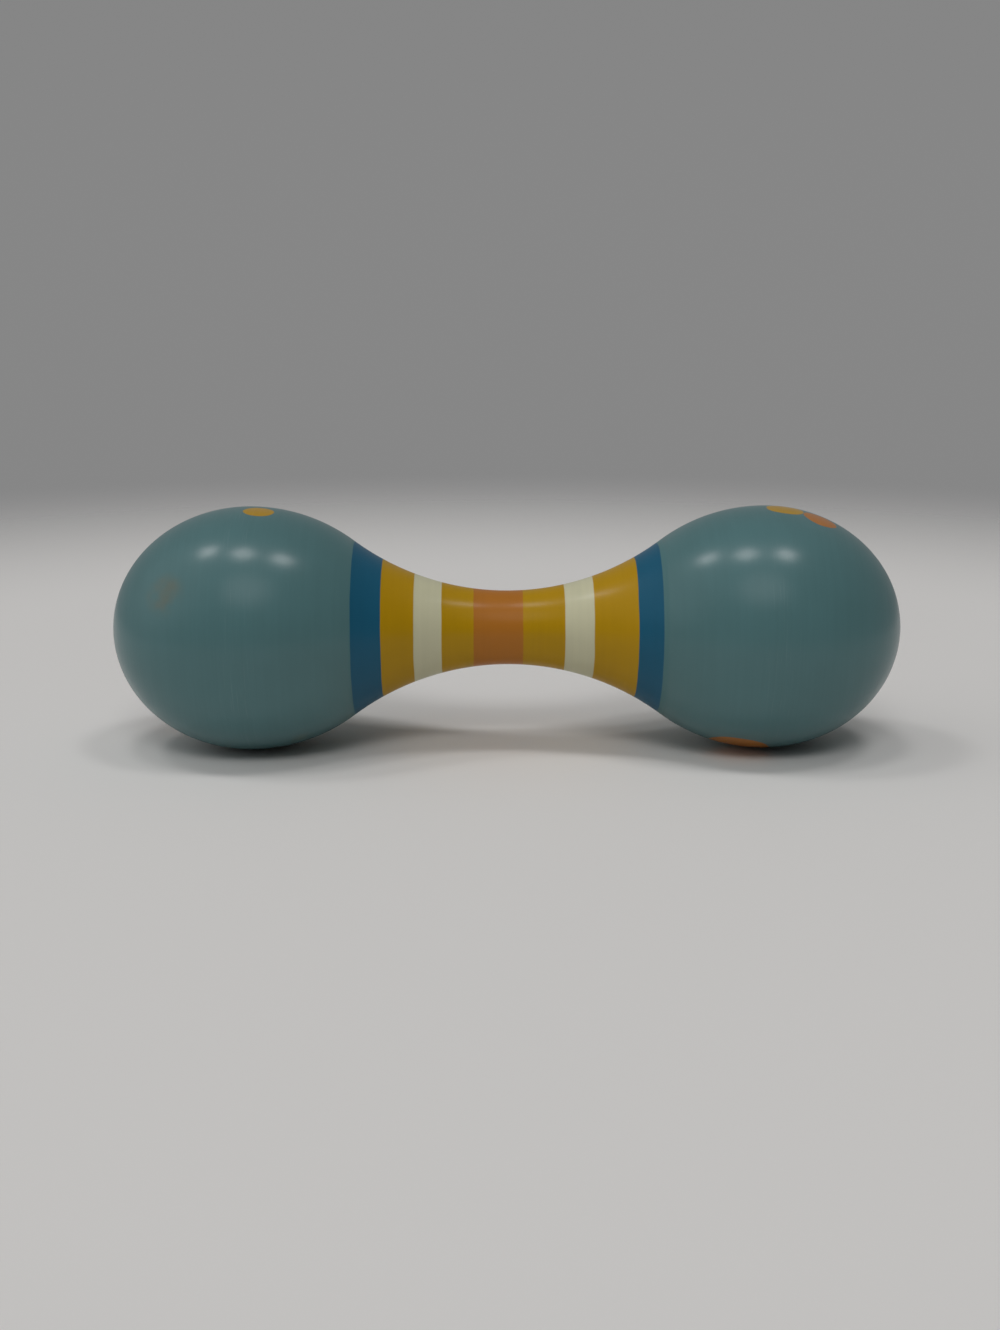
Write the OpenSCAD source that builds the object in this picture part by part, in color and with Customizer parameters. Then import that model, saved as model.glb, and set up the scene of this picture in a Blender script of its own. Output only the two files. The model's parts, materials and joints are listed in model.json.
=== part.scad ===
// Wooden baby rattle: two hollow egg-shaped heads on a waisted handle, with loose steel pellets in each head.
// It lies along X on its two heads, Z is up, and the origin is on the resting surface under its middle.

/* [Heads] */
// Largest diameter of a head
head_d = 45; // [42:0.5:52]
// Distance between the largest diameters of the two heads
head_span = 95; // [85:0.5:115]
// Length of a head's rounded end, past its largest diameter
end_len = 25.2; // [20:0.1:32]
// Radius of the shoulder curve, from a head's largest diameter towards the handle
shoulder_r = 32; // [27:0.5:38]
// Thickness of a head's wall
wall = 5; // [4:0.25:6.5]
// Thickness of a head's neck, which the handle's tenon fills
neck_t = 7; // [5:0.5:9]

/* [Lap joint between the halves of a head] */
// How far the cup's tongue enters the dome
lap_len = 3; // [2:0.25:5]
// Thickness of the tongue
tongue_t = 2.4; // [1.5:0.1:3]
// Chamfer on the tongue's leading edge
tongue_chamfer = 0.5; // [0.2:0.1:1]
// Glue gap around the tongue and at its end
lap_gap = 0.1; // [0.05:0.05:0.2]

/* [Handle] */
// Diameter of the handle at its waist
waist_d = 13.7; // [11:0.1:18]
// Diameter of the tenon at each end
tenon_d = 16; // [12:0.5:20]
// Chamfer on the tenon's leading edge
tenon_chamfer = 0.8; // [0.3:0.1:1.5]
// Glue gap around the tenon
tenon_gap = 0.05; // [0.05:0.05:0.2]

/* [Pellets] */
// Diameter of one pellet
pellet_d = 5; // [4:0.25:6]
// Gap between neighbouring pellets
pellet_gap = 0.4; // [0.3:0.1:1]
// Gap left between a pellet and the wall that it lies on or strikes
pellet_rest = 0.3; // [0.2:0.05:0.5]

/* [Hidden] */
$fn = 128;
paint_teal = "#5f8487";
paint_mustard = "#c79a2b";
bare_steel = "#b9bcc0";

head_r = head_d / 2;
waist_r = waist_d / 2;
tenon_r = tenon_d / 2;
pellet_r = pellet_d / 2;

// Stations along the rattle, from its middle: widest point of a head, inside of its wall there
wide_x = head_span / 2;
cavity_r = head_r - wall;

// The handle's hollow curve is one arc that is level at the waist and runs smoothly into the shoulder arc
shoulder_y = head_r - shoulder_r;
waist_drop = waist_r - shoulder_y;
waist_arc_r = (pow(wide_x, 2) + pow(waist_drop, 2) - pow(shoulder_r, 2)) / (2 * (head_r - waist_r));
// The seam between handle and head lies where the two arcs touch
seam_x = wide_x * waist_arc_r / (waist_arc_r + shoulder_r);
floor_x = seam_x + neck_t;

// Centre-to-centre distance of the pellets, and of their rows
pellet_pitch = pellet_d + pellet_gap;
row_pitch = pellet_pitch * sqrt(3) / 2;
// The pellets gather round the widest point, clear of the cup's floor
pellets_x = max(wide_x, floor_x + pellet_rest + pellet_r + pellet_pitch);
row_counts = [3, 2, 3];
pellet_spots = [
    for (row = [0 : len(row_counts) - 1], i = [0 : row_counts[row] - 1])
        [
            pellets_x + pellet_pitch * (i - (row_counts[row] - 1) / 2),
            row_pitch * (row - (len(row_counts) - 1) / 2)
        ]
];

sides = ["left", "right"];

// Radius of the chamber at station x, drawn in by inset from its wall
function chamber_r(x, inset) =
    x < wide_x
        ? shoulder_y + sqrt(pow(shoulder_r - wall - inset, 2) - pow(x - wide_x, 2))
        : (cavity_r - inset) * sqrt(1 - pow((x - wide_x) / (end_len - wall - inset), 2));

// Height of the rattle's axis above a pellet that lies on the chamber's wall: it can rise by twice that
function pellet_drop(spot) = sqrt(pow(chamber_r(spot[0], pellet_r + pellet_rest), 2) - pow(spot[1], 2));

// Turns a profile, drawn with its radius along X and its station along Y, about the rattle's axis
module turned() {
    rotate([0, 90, 0]) rotate_extrude() children();
}

// Lifts a piece from the rattle's axis onto the resting surface
module lying() {
    translate([0, 0, head_r]) children();
}

module on_side(side) {
    mirror([side == "left" ? 1 : 0, 0, 0]) children();
}

// Round spigot from station x, with its outer leading edge chamfered
module spigot_profile(x, inner_r, outer_r, length, chamfer) {
    polygon([
        [inner_r, x],
        [outer_r, x],
        [outer_r, x + length - chamfer],
        [outer_r - chamfer, x + length],
        [inner_r, x + length]
    ]);
}

// Everything within the shoulder curve between station x and the widest point, drawn in by inset
module shoulder_profile(x, inset) {
    intersection() {
        translate([shoulder_y, wide_x]) circle(shoulder_r - inset);
        translate([0, wide_x]) mirror([0, 1]) square([head_d, wide_x - x]);
    }
}

// Half of an egg's end that is round at the widest point, drawn in by inset
module rounded_end(inset) {
    translate([wide_x, 0, 0])
        scale([(end_len - inset) / (head_r - inset), 1, 1])
            sphere(head_r - inset);
}

module handle() {
    color(paint_mustard) lying() turned() for (side = sides) mirror([0, side == "left" ? 1 : 0]) {
        difference() {
            square([head_d, seam_x]);
            translate([waist_r + waist_arc_r, 0]) circle(waist_arc_r);
        }
        spigot_profile(seam_x, 0, tenon_r, neck_t, tenon_chamfer);
    }
}

module head_cup(side) {
    color(paint_teal) lying() on_side(side) turned() {
        difference() {
            shoulder_profile(seam_x, 0);
            shoulder_profile(floor_x, wall);
            square([tenon_r + tenon_gap, wide_x]);
        }
        spigot_profile(wide_x, cavity_r, cavity_r + tongue_t, lap_len, tongue_chamfer);
    }
}

module head_dome(side) {
    color(paint_teal) lying() on_side(side) difference() {
        rounded_end(0);
        rounded_end(wall);
        rotate([0, 90, 0]) cylinder(r = head_d, h = wide_x);
        translate([wide_x, 0, 0])
            rotate([0, 90, 0])
                cylinder(r = cavity_r + tongue_t + lap_gap, h = lap_len + lap_gap);
    }
}

module pellet(side, spot) {
    color(bare_steel) lying() on_side(side)
        translate([spot[0], spot[1], -pellet_drop(spot)])
            sphere(pellet_r);
}

handle();
for (side = sides) {
    head_cup(side);
    head_dome(side);
    for (i = [1 : len(pellet_spots)])
        pellet(side, pellet_spots[i - 1]);
}
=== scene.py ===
import json
import math

import bpy
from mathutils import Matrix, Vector


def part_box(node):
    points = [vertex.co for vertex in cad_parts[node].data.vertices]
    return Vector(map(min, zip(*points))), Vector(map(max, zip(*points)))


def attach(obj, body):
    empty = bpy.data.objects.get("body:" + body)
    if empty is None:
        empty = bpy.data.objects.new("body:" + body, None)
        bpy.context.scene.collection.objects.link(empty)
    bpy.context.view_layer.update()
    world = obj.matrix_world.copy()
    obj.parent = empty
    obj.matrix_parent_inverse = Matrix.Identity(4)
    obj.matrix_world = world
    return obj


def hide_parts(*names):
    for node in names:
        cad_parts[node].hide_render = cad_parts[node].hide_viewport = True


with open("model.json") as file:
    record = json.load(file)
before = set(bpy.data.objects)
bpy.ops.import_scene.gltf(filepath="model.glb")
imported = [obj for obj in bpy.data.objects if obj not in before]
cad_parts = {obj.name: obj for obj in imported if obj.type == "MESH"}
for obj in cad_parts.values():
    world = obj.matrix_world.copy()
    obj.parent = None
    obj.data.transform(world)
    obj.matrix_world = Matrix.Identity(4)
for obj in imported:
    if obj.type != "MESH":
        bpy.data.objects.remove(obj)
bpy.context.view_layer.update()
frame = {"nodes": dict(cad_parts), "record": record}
print("frame loaded:", len(frame["nodes"]), "nodes")

# Sizes off the frame, in metres: stations run along X from the middle, radii from the rattle's axis
mm = 0.001
handleLow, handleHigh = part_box("handle")
cupLow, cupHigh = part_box("right_head_cup")
domeLow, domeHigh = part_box("right_head_dome")
grip = frame["record"]["mounts"][0]  # the waist, where a hand closes round it
axisZ = (domeLow.z + domeHigh.z) / 2
headRadius = (domeHigh.z - domeLow.z) / 2
wideX = domeLow.x  # largest diameter of a head
tipX = domeHigh.x
seamX = cupLow.x  # handle and head meet here
seamRadius = (handleHigh.z - handleLow.z) / 2
tenonEnd = handleHigh.x
tongueEnd = cupHigh.x
waistRadius = grip["dims"]["r_mm"] * mm
middle = Vector((0, 0, axisZ))


def arcRadius(halfChord, rise):
    return (halfChord**2 + rise**2) / (2 * rise)


waistArc = arcRadius(seamX, seamRadius - waistRadius)
shoulderArc = arcRadius(wideX - seamX, headRadius - seamRadius)
shoulderY = headRadius - shoulderArc  # radius at which the shoulder arc has its centre
endLength = tipX - wideX


def outerRadius(station):
    x = abs(station)
    if x < seamX:
        return waistRadius + waistArc - math.sqrt(waistArc**2 - x**2)
    if x < wideX:
        return shoulderY + math.sqrt(shoulderArc**2 - (x - wideX)**2)
    return headRadius * math.sqrt(max(0, 1 - ((x - wideX) / endLength)**2))


def outerNormal(point):
    x = abs(point.x)
    side = 1 if point.x > 0 else -1
    fromAxis = Vector((0, point.y, point.z - axisZ))
    radius = fromAxis.length
    if x < seamX:
        along, out = -x, waistRadius + waistArc - radius
    elif x < wideX:
        along, out = x - wideX, radius - shoulderY
    else:
        along, out = (x - wideX) / endLength**2, radius / headRadius**2
    return (Vector((side * along, 0, 0)) + fromAxis.normalized() * out).normalized()


# Outlines are lists of (station, radius), drawn for the right-hand side
def waistCurve(steps):
    reach = math.asin(seamX / waistArc)
    angles = [reach * (2 * i / steps - 1) for i in range(steps + 1)]
    return [(waistArc * math.sin(a), waistRadius + waistArc * (1 - math.cos(a))) for a in angles]


def shoulderCurve(fromX, inset, steps):
    radius = shoulderArc - inset
    reach = math.asin((wideX - fromX) / radius)
    angles = [reach * (1 - i / steps) for i in range(steps + 1)]
    return [(wideX - radius * math.sin(a), shoulderY + radius * math.cos(a)) for a in angles]


def domeCurve(fromX, inset, steps):
    length = endLength - inset
    start = math.asin((fromX - wideX) / length)
    angles = [start + (math.pi / 2 - start) * i / steps for i in range(steps + 1)]
    return [(wideX + length * math.sin(a), (headRadius - inset) * math.cos(a)) for a in angles]


# The lathe: a section is drawn point by point above the axis and spun round it
lathe = {
    "turns": 256,
    "sharpAngle": math.radians(30),
    "weld": 0.001 * mm,
}


def turnOnLathe(name, outline):
    bpy.ops.object.select_all(action="DESELECT")
    firstX, firstRadius = outline[0]
    bpy.ops.mesh.primitive_plane_add(size=mm, location=(firstX, 0, axisZ + firstRadius))
    piece = bpy.context.object
    piece.name = name
    piece.data.name = name
    bpy.ops.object.transform_apply(location=True, rotation=True, scale=True)
    bpy.ops.object.mode_set(mode="EDIT")
    bpy.ops.mesh.merge(type="CENTER")  # the plane shrinks to the outline's first point
    for (fromX, fromRadius), (toX, toRadius) in zip(outline, outline[1:]):
        stride = (toX - fromX, 0, toRadius - fromRadius)
        bpy.ops.mesh.extrude_region_move(TRANSFORM_OT_translate={"value": stride})
    bpy.ops.mesh.select_all(action="SELECT")
    bpy.ops.mesh.spin(steps=lathe["turns"], angle=2 * math.pi, center=middle, axis=(1, 0, 0))
    bpy.ops.mesh.select_all(action="SELECT")
    bpy.ops.mesh.remove_doubles(threshold=lathe["weld"])
    bpy.ops.mesh.normals_make_consistent(inside=False)
    bpy.ops.object.mode_set(mode="OBJECT")
    bpy.ops.object.shade_smooth_by_angle(angle=lathe["sharpAngle"])
    print("turned", name, len(piece.data.polygons), "faces")
    return piece


class Wire:  # a shader socket that takes part in plain sums
    def __init__(self, socket):
        self.socket = socket

    def node(self, kind, settings=None, sockets=None, output=0):
        tree = self.socket.id_data
        made = tree.nodes.new(kind)
        for name, value in (settings or {}).items():
            setattr(made, name, value)
        for name, value in (sockets or {}).items():
            if isinstance(value, Wire):
                tree.links.new(value.socket, made.inputs[name])
            else:
                made.inputs[name].default_value = value
        return Wire(made.outputs[output]) if made.outputs else None

    def math(self, operation, first, second=0.0):
        return self.node("ShaderNodeMath", {"operation": operation}, {0: first, 1: second})

    def __add__(self, other):
        return self.math("ADD", self, other)

    def __sub__(self, other):
        return self.math("SUBTRACT", self, other)

    def __rsub__(self, other):
        return self.math("SUBTRACT", other, self)

    def __mul__(self, other):
        return self.math("MULTIPLY", self, other)

    def __abs__(self):
        return self.math("ABSOLUTE", self)

    __radd__ = __add__
    __rmul__ = __mul__

    def rise(self, low, high):  # 0 at low, 1 at high, smooth between
        sockets = {"Value": self, "From Min": low, "From Max": high}
        return self.node("ShaderNodeMapRange", {"interpolation_type": "SMOOTHSTEP"}, sockets)

    def mix(self, under, over, blend="MIX"):  # this wire is the mask
        settings = {"data_type": "RGBA", "blend_type": blend}
        return self.node("ShaderNodeMix", settings, {0: self, 6: under, 7: over}, 2)

    def vector(self, operation, second=(0, 0, 0), third=(0, 0, 0), output=0):
        settings = {"operation": operation}
        return self.node("ShaderNodeVectorMath", settings, {0: self, 1: second, 2: third}, output)

    def noise(self, scale, detail=2):  # the scale is one number, or three to stretch the noise
        if isinstance(scale, tuple):
            return self.vector("MULTIPLY", scale).noise(1, detail)
        return self.node("ShaderNodeTexNoise", None, {"Vector": self, "Scale": scale, "Detail": detail})


noiseMiddle = 0.5  # noise swings evenly about this


def srgb(red, green, blue):
    def linear(value):  # the standard curve of screen colours
        share = value / 255
        return share / 12.92 if share <= 0.04045 else ((share + 0.055) / 1.055)**2.4
    return (linear(red), linear(green), linear(blue), 1)


def newMaterial(name):
    material = bpy.data.materials.new(name)
    material.use_nodes = True
    tree = material.node_tree
    tree.nodes.clear()
    return material, Wire(tree.nodes.new("ShaderNodeTexCoord").outputs["Object"])


def finishSurface(place, sockets):
    shader = place.node("ShaderNodeBsdfPrincipled", None, sockets)
    place.node("ShaderNodeOutputMaterial", None, {"Surface": shader})


def stationOf(place):
    return place.node("ShaderNodeSeparateXYZ", None, {0: place}, "X")


def reliefNormal(place, heightInMm):
    sockets = {"Strength": 1.0, "Distance": mm, "Height": heightInMm}
    return place.node("ShaderNodeBump", None, sockets)


paints = {
    "teal": srgb(84, 123, 126),
    "blue": srgb(24, 92, 121),
    "mustard": srgb(186, 143, 3),
    "cream": srgb(211, 208, 176),
    "orange": srgb(181, 114, 37),
}

# Satin brush paint over turned wood; scales are per metre, reliefs in mm
satin = {
    "roughness": 0.42,
    "roughnessDrift": 0.2,
    "specular": 0.1,
    "coatRoughness": 0.23,
    "radiusShare": 0.5,  # how far the radius counts in the way along the surface
    "ringScale": 1100,
    "ringRelief": 0.009,
    "streakScale": (1500, 40, 40),
    "streakRelief": 0.008,
    "grainScale": (12, 900, 900),
    "grainRelief": 0.003,
    "peelScale": 650,
    "peelRelief": 0.006,
    "driftScale": 55,
    "driftShare": 0.75,  # part of the drift in the uneven shade, where the streaks are the rest
    "shadeRange": (0.3, 0.7),
    "shade": (0.80, 0.81, 0.80, 1),
    "shadeShare": 0.5,
}

# Small chips where the paint has come off the wood, in mm
chips = {
    "spacing": 7,
    "size": 0.5,
    "share": 0.3,  # part of the cells that have one
    "ragged": 0.6,
    "edge": 0.2,
    "depth": 0.04,
    "dullness": 0.25,
    "wood": srgb(158, 138, 104),
}


def satinPaint(place, colour, edgeRelief, coat):
    fromAxis = place.vector("MULTIPLY_ADD", (0, 1, 1), (0, 0, -axisZ))
    radius = fromAxis.vector("LENGTH", output="Value")
    along = abs(stationOf(place)) - radius * satin["radiusShare"]  # grows from the waist to a head's tip
    ringSockets = {"W": along, "Scale": satin["ringScale"]}
    rings = along.node("ShaderNodeTexNoise", {"noise_dimensions": "1D"}, ringSockets)
    lengthwise = along.node("ShaderNodeCombineXYZ", None, {"X": along})
    streaks = fromAxis.vector("ADD", lengthwise).noise(satin["streakScale"])
    grain = place.noise(satin["grainScale"], detail=1)
    peel = place.noise(satin["peelScale"], detail=1)
    drift = place.noise(satin["driftScale"], detail=3)
    patchy = drift * satin["driftShare"] + streaks * (1 - satin["driftShare"])
    uneven = patchy.rise(*satin["shadeRange"]) * satin["shadeShare"]

    cells = {"Vector": place, "Scale": 1 / (chips["spacing"] * mm)}
    fromChip = place.node("ShaderNodeTexVoronoi", None, cells, "Distance") * chips["spacing"]
    luck = place.node("ShaderNodeTexVoronoi", None, cells, "Color")  # one random value a cell
    chipSize = luck.rise(1 - chips["share"], 1) * chips["size"]
    inside = chipSize - fromChip + (peel - noiseMiddle) * chips["ragged"]
    chipped = inside.rise(0, chips["edge"]) * chipSize.rise(0, chips["edge"])

    relief = (
        rings * satin["ringRelief"] + streaks * satin["streakRelief"] + grain * satin["grainRelief"]
        + peel * satin["peelRelief"] + edgeRelief - chipped * chips["depth"]
    )
    roughness = (drift - noiseMiddle) * satin["roughnessDrift"] + satin["roughness"]
    finishSurface(place, {
        "Base Color": chipped.mix(uneven.mix(colour, satin["shade"], "MULTIPLY"), chips["wood"]),
        "Roughness": roughness + chipped * chips["dullness"],
        "Specular IOR Level": satin["specular"],
        "Coat Weight": (1 - chipped) * coat,
        "Coat Roughness": satin["coatRoughness"],
        "Normal": reliefNormal(place, relief),
    })


# Stripes from left to right: each paint starts at its station, in mm from the middle
stripes = {
    "first": "teal",
    "rest": [
        (-28.17, "blue"), (-22.99, "mustard"), (-17.18, "cream"), (-12.11, "mustard"), (-6.30, "orange"),
        (2.78, "mustard"), (10.37, "cream"), (15.64, "mustard"), (23.37, "blue"), (27.59, "teal"),
    ],
    "edge": 0.08,
    "wobble": 0.25,
    "wobbleScale": 130,
    "ridgeWidth": 0.35,
    "ridgeHeight": 0.015,
    "coat": 0.25,
}


def stripedPaint():
    material, place = newMaterial("striped_paint")
    wobble = (place.noise(stripes["wobbleScale"]) - noiseMiddle) * stripes["wobble"]
    along = stationOf(place) * (1 / mm) + wobble
    colour = paints[stripes["first"]]
    ridge = None
    for station, paint in stripes["rest"]:
        past = along - station
        colour = past.rise(-stripes["edge"], stripes["edge"]).mix(colour, paints[paint])
        lip = abs(past).rise(stripes["ridgeWidth"], 0)
        ridge = lip if ridge is None else ridge.math("MAXIMUM", ridge, lip)
    satinPaint(place, colour, ridge * stripes["ridgeHeight"], stripes["coat"])
    return material


# Plain painted dots on the heads: station in mm, angle round the axis, size in mm
# An angle of 0 faces the viewer, 90 is up
dots = {
    "mustard": [
        (-45.2, 83, 5.5), (-39, 128, 8), (-57, 178, 9), (-44, 224, 7),
        (50.7, 87, 7), (40, 140, 9), (58, 196, 8), (45, 238, 7),
    ],
    "orange": [
        (-55, 122, 8), (-43, 172, 10), (-60, 232, 8), (-46, 262, 9),
        (56.8, 81, 6.5), (49, 160, 10), (37.5, 196, 7), (42.5, 291, 11),
    ],
    "cream": [(-50, 148, 5), (-37, 205, 6), (-52, 205, 6), (57, 138, 6), (46, 196, 6), (56, 246, 7)],
    "edge": 0.1,
    "wobble": 0.9,
    "height": 0.02,
    "coat": 0.6,
}

# Handling marks: grubby rubs given like the dots, and fine scuffs on the ring that a head rolls on
marks = {
    "blotchScale": 220,
    "rubs": [(-60.5, 30, 9), (61, 205, 7), (-38, 300, 5)],
    "rubEdge": (0.5, -2.5),
    "rubPatches": (0.2, 0.7),
    "rubColour": srgb(126, 112, 82),
    "rubShare": 0.4,
    "scuffScale": (5200, 110, 110),
    "scuffRange": (0.6, 0.7),
    "scuffHaze": (0.02, 0.02, 0.02, 1),
    "scuffReach": 5 * mm,
}


def dotCentre(station, angle):
    radius = outerRadius(station * mm)
    turn = math.radians(angle)
    return (station * mm, -radius * math.cos(turn), axisZ + radius * math.sin(turn))


def nearestEdge(place, spots):
    nearest = None
    for station, angle, size in spots:
        fromCentre = place.vector("DISTANCE", dotCentre(station, angle), output="Value") * (1 / mm)
        outside = fromCentre - size / 2
        nearest = outside if nearest is None else nearest.math("MINIMUM", nearest, outside)
    return nearest


def headPaint():
    material, place = newMaterial("head_paint")
    blotches = place.noise(marks["blotchScale"])
    wobble = (blotches - noiseMiddle) * dots["wobble"]
    colour = paints["teal"]
    raised = None
    for paint in ("mustard", "orange", "cream"):
        dab = (nearestEdge(place, dots[paint]) + wobble).rise(dots["edge"], -dots["edge"])
        colour = dab.mix(colour, paints[paint])
        raised = dab if raised is None else raised.math("MAXIMUM", raised, dab)
    rubbed = nearestEdge(place, marks["rubs"]).rise(*marks["rubEdge"]) * blotches.rise(*marks["rubPatches"])
    colour = (rubbed * marks["rubShare"]).mix(colour, marks["rubColour"])
    nearCrest = abs(abs(stationOf(place)) - wideX).rise(marks["scuffReach"], 0)
    scuffs = place.noise(marks["scuffScale"]).rise(*marks["scuffRange"])
    colour = (scuffs * nearCrest).mix(colour, marks["scuffHaze"], "ADD")
    satinPaint(place, colour, raised * dots["height"], dots["coat"])
    return material


beech = {
    "pale": srgb(214, 178, 132),
    "dark": srgb(172, 128, 84),
    "fleck": srgb(138, 96, 60),
    "figureScale": 25,
    "grainScale": (10, 420, 420),
    "grainShare": 0.7,  # part of the grain in the dark streaks, where the broad figure is the rest
    "darkRange": (0.35, 0.68),
    "fleckScale": (160, 1900, 1900),
    "fleckRange": (0.66, 0.74),
    "roughness": 0.62,
    "grainRoughness": 0.15,
    "grainRelief": 0.02,
}


def bareBeech():
    material, place = newMaterial("bare_beech")
    figure = place.noise(beech["figureScale"])
    grain = place.noise(beech["grainScale"], detail=4)
    flecks = place.noise(beech["fleckScale"], detail=1).rise(*beech["fleckRange"])
    streaks = grain * beech["grainShare"] + figure * (1 - beech["grainShare"])
    colour = streaks.rise(*beech["darkRange"]).mix(beech["pale"], beech["dark"])
    finishSurface(place, {
        "Base Color": flecks.mix(colour, beech["fleck"]),
        "Roughness": grain * beech["grainRoughness"] + beech["roughness"],
        "Normal": reliefNormal(place, grain * beech["grainRelief"]),
    })
    return material


steel = {
    "colour": (0.58, 0.58, 0.59, 1),
    "worn": (0.42, 0.42, 0.43, 1),
    "wornRange": (0.45, 0.75),
    "scuffScale": (2600, 700, 1500),
    "roughness": 0.22,
    "scuffRoughness": 0.25,
    "scuffRelief": 0.004,
}


def ballSteel():
    material, place = newMaterial("ball_steel")
    scuffs = place.noise(steel["scuffScale"], detail=3)
    finishSurface(place, {
        "Base Color": scuffs.rise(*steel["wornRange"]).mix(steel["colour"], steel["worn"]),
        "Metallic": 1.0,
        "Roughness": scuffs * steel["scuffRoughness"] + steel["roughness"],
        "Normal": reliefNormal(place, scuffs * steel["scuffRelief"]),
    })
    return material


stripedMaterial = stripedPaint()
headMaterial = headPaint()
beechMaterial = bareBeech()
steelMaterial = ballSteel()
print("materials made")

paintSkin = 0.3 * mm  # a face this near the outside is painted


def fitPiece(piece, node, paint):
    piece.data.materials.append(paint)
    piece.data.materials.append(beechMaterial)
    smoothed = [Vector()] * len(piece.data.loops)  # a null normal leaves that corner as it is
    for face in piece.data.polygons:
        reach = math.hypot(face.center.y, face.center.z - axisZ)
        face.material_index = 0 if reach > outerRadius(face.center.x) - paintSkin else 1
        if face.material_index == 0:
            for corner, vertex in zip(face.loop_indices, face.vertices):
                smoothed[corner] = outerNormal(piece.data.vertices[vertex].co)
    piece.data.normals_split_custom_set(smoothed)  # so that no seam shows under the paint
    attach(piece, "rattle")
    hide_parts(node)


handleShape = {
    "tenonRadius": 8 * mm,
    "tenonChamfer": 0.8 * mm,
    "curveSteps": 128,
}


def handleOutline():
    radius = handleShape["tenonRadius"]
    chamfer = handleShape["tenonChamfer"]
    tenon = [(tenonEnd, 0), (tenonEnd, radius - chamfer), (tenonEnd - chamfer, radius), (seamX, radius)]
    return [(-x, r) for x, r in tenon] + waistCurve(handleShape["curveSteps"]) + tenon[::-1]


fitPiece(turnOnLathe("painted_handle", handleOutline()), "handle", stripedMaterial)

headShape = {
    "wall": 5 * mm,
    "boreRadius": 8.05 * mm,  # for the handle's tenon
    "tongue": 2.4 * mm,
    "tongueChamfer": 0.5 * mm,
    "lapGap": 0.1 * mm,
    "outerSteps": 72,
    "innerSteps": 32,
}
cavityRadius = headRadius - headShape["wall"]
tongueRadius = cavityRadius + headShape["tongue"]


def cupOutline():
    chamfer = headShape["tongueChamfer"]
    bore = headShape["boreRadius"]
    outside = shoulderCurve(seamX, 0, headShape["outerSteps"])
    tongue = [
        (wideX, tongueRadius), (tongueEnd - chamfer, tongueRadius),
        (tongueEnd, tongueRadius - chamfer), (tongueEnd, cavityRadius),
    ]
    inside = shoulderCurve(tenonEnd, headShape["wall"], headShape["innerSteps"])[::-1]
    return [(seamX, bore)] + outside + tongue + inside + [(tenonEnd, bore), (seamX, bore)]


def domeOutline():
    recessEnd = tongueEnd + headShape["lapGap"]
    recessRadius = tongueRadius + headShape["lapGap"]
    inside = domeCurve(recessEnd, headShape["wall"], headShape["innerSteps"])[::-1]
    outside = domeCurve(wideX, 0, headShape["outerSteps"])
    return inside + [(recessEnd, recessRadius), (wideX, recessRadius)] + outside


for side, sign in (("left", -1), ("right", 1)):
    for half, outline in (("cup", cupOutline()), ("dome", domeOutline())):
        mirrored = [(sign * x, r) for x, r in outline]
        piece = turnOnLathe(f"painted_{side}_{half}", mirrored)
        fitPiece(piece, f"{side}_head_{half}", headMaterial)

for name, node in frame["nodes"].items():
    if "pellet" in name:
        node.data.materials.clear()
        node.data.materials.append(steelMaterial)
print("pieces fitted")

# The camera looks at the rattle from the photograph's place; pixels are in its 1000 by 1330 frame
view = {
    "distance": 325.5 * mm,
    "elevation": 12.1,
    "azimuth": -1.0,
    "focalPixels": 1750,
    "frame": (1000, 1330),
    "middlePixel": (507.5, 627.3),  # where the rattle's middle shows
    "clipStart": 10 * mm,
}


def addCamera():
    raised = math.radians(view["elevation"])
    turned = math.radians(view["azimuth"])
    level = math.cos(raised)
    back = Vector((math.sin(turned) * level, -math.cos(turned) * level, math.sin(raised)))
    eye = middle + back * view["distance"]
    right = Vector((0, 0, 1)).cross(back).normalized()
    upward = back.cross(right)
    width, height = view["frame"]
    pixel = view["distance"] / view["focalPixels"]
    aside = (view["middlePixel"][0] - width / 2) * pixel
    above = (height / 2 - view["middlePixel"][1]) * pixel
    aim = middle - right * aside - upward * above
    bpy.ops.object.camera_add(location=eye, rotation=(aim - eye).to_track_quat("-Z", "Y").to_euler())
    camera = bpy.context.object
    camera.data.lens = camera.data.sensor_width * view["focalPixels"] / height
    camera.data.clip_start = view["clipStart"]
    bpy.context.scene.camera = camera


# Lamps stand that way from the rattle, this high above it; heights and sides are in metres
frontWay = (-0.03, -0.672, 0.739)
lamps = [
    {"way": (-0.437, 0.052, 0.898), "height": 2.0, "sides": (0.36, 0.36), "watts": 4.05, "mirrored": True},
    {"way": (-0.113, -0.094, 0.988), "height": 2.0, "sides": (0.36, 0.36), "watts": 4.05, "mirrored": True},
    {"way": (0.259, -0.12, 0.958), "height": 2.0, "sides": (0.36, 0.36), "watts": 4.3, "mirrored": True},
    {"way": frontWay, "height": 1.48, "sides": (0.8, 0.5), "watts": 5.9, "mirrored": False},
]


def addLamps():
    for lamp in lamps:
        away = Vector(lamp["way"])
        place = middle + away * (lamp["height"] / away.z)
        turned = away.to_track_quat("Z", "Y").to_euler()
        bpy.ops.object.light_add(type="AREA", location=place, rotation=turned)
        bpy.context.object.visible_glossy = lamp["mirrored"]
        light = bpy.context.object.data
        light.shape = "RECTANGLE"
        light.size, light.size_y = lamp["sides"]
        light.energy = lamp["watts"]


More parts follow.
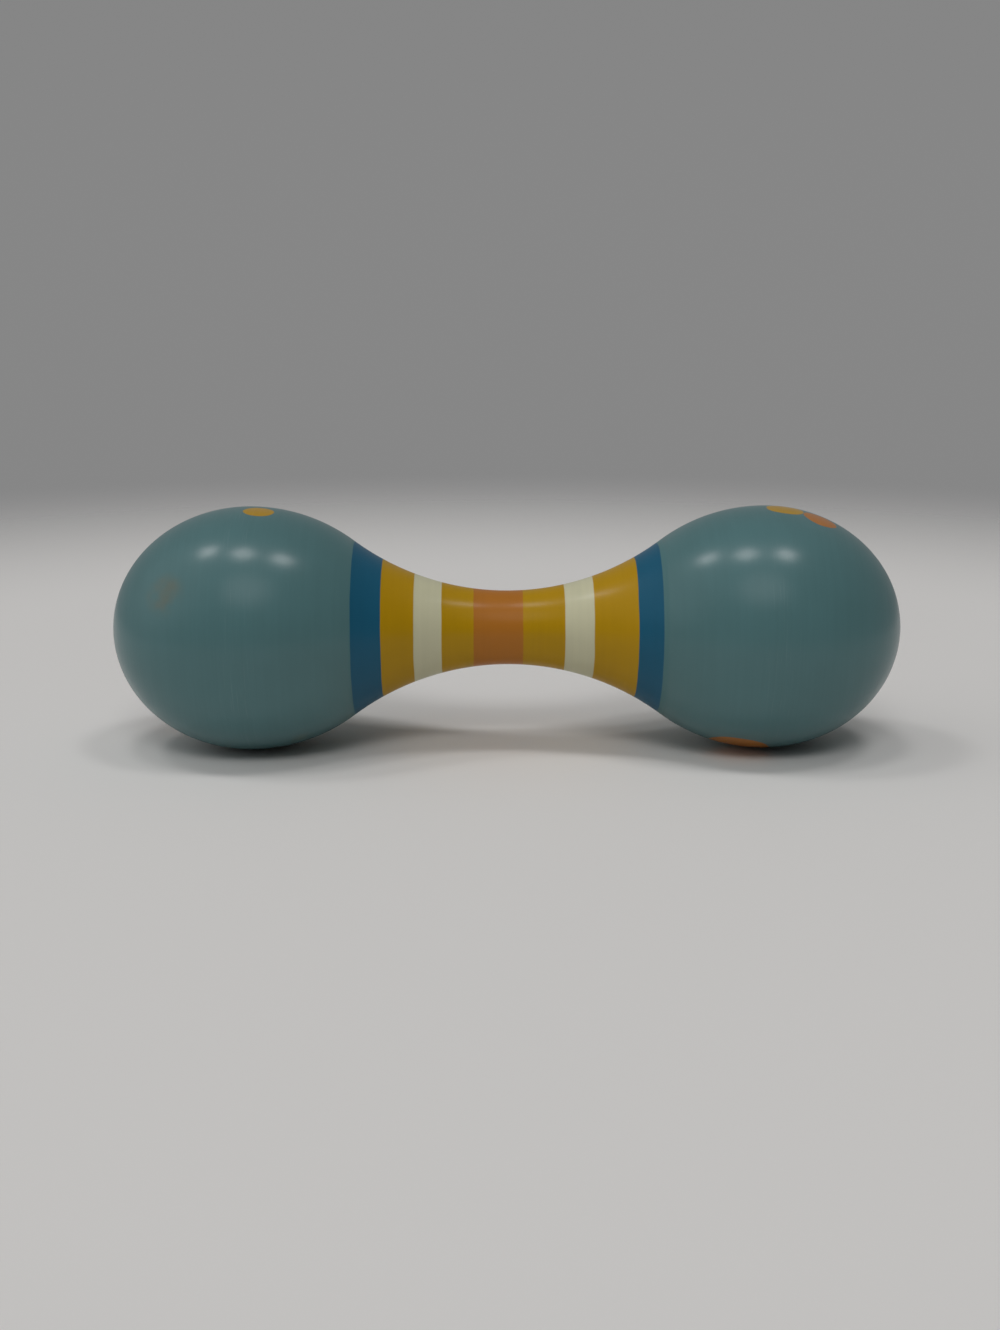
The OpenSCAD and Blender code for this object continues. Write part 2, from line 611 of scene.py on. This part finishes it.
# The room: walls with a dark side, a ceiling, and soft glows at the left and where the front lamp stands
# An edge is the cosine of the angle at which the dark side or a glow ends
room = {
    "wallLight": 0.24,
    "darkWay": (0.7, -0.714, 0),
    "darkEdge": -0.7,
    "ceilingLight": 0.18,
    "leftLight": 0.4,
    "leftWay": (-0.815, -0.153, 0.56),
    "leftEdge": 0.72,
    "frontLight": 1.2,
    "frontEdge": 0.93,
}


def addRoom():
    world = bpy.data.worlds.new("pale_room")
    world.use_nodes = True
    tree = world.node_tree
    sky = Wire(tree.nodes.new("ShaderNodeTexCoord").outputs["Generated"])

    def facing(way, edge=0):
        return sky.vector("DOT_PRODUCT", way, output="Value").rise(edge, 1)

    rays = tree.nodes.new("ShaderNodeLightPath").outputs
    camera = Wire(rays["Is Camera Ray"])
    seen = camera + Wire(rays["Is Glossy Ray"]) + Wire(rays["Is Transmission Ray"])
    dark = facing(room["darkWay"], room["darkEdge"]) * (1 - seen)  # dims the rattle, but never shows
    walls = (1 - dark) * room["wallLight"]
    overhead = facing((0, 0, 1))
    left = facing(room["leftWay"], room["leftEdge"]) * (1 - camera) * room["leftLight"]
    front = facing(frontWay, room["frontEdge"]) * room["frontLight"]
    strength = (1 - overhead) * walls + overhead * room["ceilingLight"] + left + front
    background = tree.nodes["Background"]
    background.inputs["Color"].default_value = (1, 1, 1, 1)
    tree.links.new(strength.socket, background.inputs["Strength"])
    bpy.context.scene.world = world


# A round floor that thins out from fade to radius, in metres
paleFloor = {
    "radius": 0.42,
    "fade": 0.17,
    "sides": 128,
    "colour": srgb(232, 230, 228),
    "roughness": 0.9,
    "specular": 0.2,
}


def addFloor():
    radius = paleFloor["radius"]
    bpy.ops.mesh.primitive_circle_add(vertices=paleFloor["sides"], radius=radius, fill_type="NGON")
    floor = bpy.context.object
    floor.name = "floor"
    material, place = newMaterial("pale_floor")
    away = place.vector("LENGTH", output="Value")
    finishSurface(place, {
        "Base Color": paleFloor["colour"],
        "Roughness": paleFloor["roughness"],
        "Specular IOR Level": paleFloor["specular"],
        "Alpha": away.rise(radius, paleFloor["fade"]),
    })
    floor.data.materials.append(material)


addCamera()
addLamps()
addRoom()
addFloor()
bpy.context.scene.view_settings.view_transform = "Standard"
print("camera, lamps and floor set")
